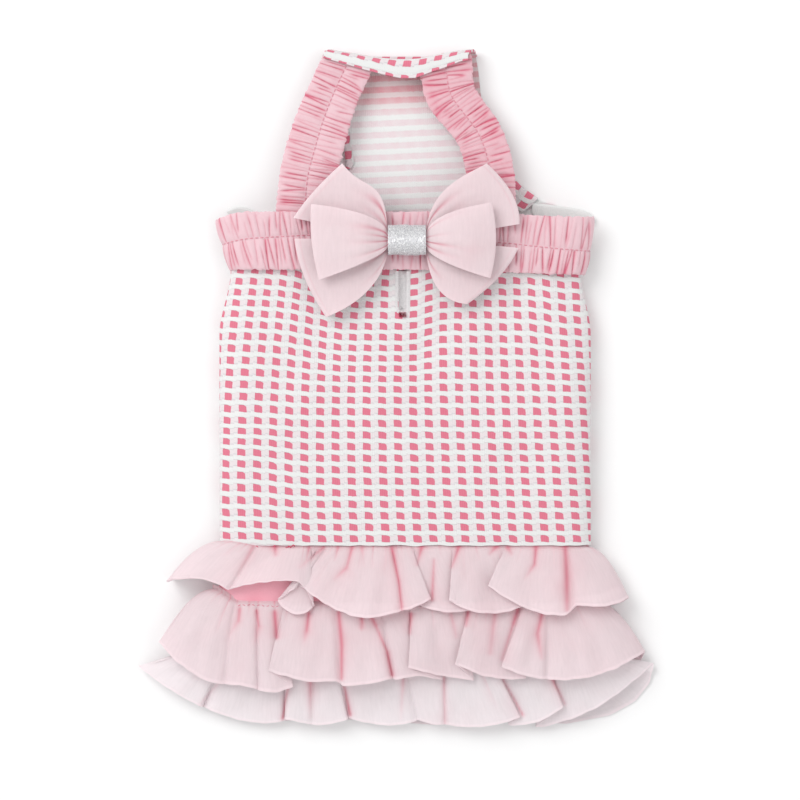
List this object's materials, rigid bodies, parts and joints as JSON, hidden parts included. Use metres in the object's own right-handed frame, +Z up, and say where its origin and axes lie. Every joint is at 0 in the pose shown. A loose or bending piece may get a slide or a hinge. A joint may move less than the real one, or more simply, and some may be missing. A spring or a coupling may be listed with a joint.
{
  "type": "dog dress",
  "caption": "Small dog's dress lying flat: checked knit body tube, gathered straps and waistband, large bow and a tiered ruffle skirt.",
  "frame": {"origin": "bottom centre of the bounding box, on the surface that the dress lies on", "axes": "+Y from the skirt's hem towards the neck, +Z up out of the back of the dress, +X to the right as seen from above"},
  "size_m": [0.2281, 0.2997, 0.0294],
  "materials": {
    "knit_check": "soft knit in a pink and white check",
    "gathered_cotton": "matt gathered cotton",
    "lining": "matt woven cloth",
    "chiffon": "sheer crinkled chiffon",
    "glitter": "silver glitter cloth"
  },
  "bodies": {
    "root": {"back_panel": "knit_check", "belly_panel": "knit_check", "waistband": "gathered_cotton", "strap_left": "gathered_cotton", "strap_right": "gathered_cotton", "underskirt": "lining", "ruffle_top": "chiffon", "ruffle_middle": "chiffon", "ruffle_bottom": "chiffon", "bow_tail_upper_left": "chiffon", "bow_tail_lower_left": "chiffon", "bow_tail_upper_right": "chiffon", "bow_tail_lower_right": "chiffon", "bow_loop_left": "chiffon", "bow_loop_right": "chiffon", "bow_knot": "glitter"}
  },
  "joints": []
}
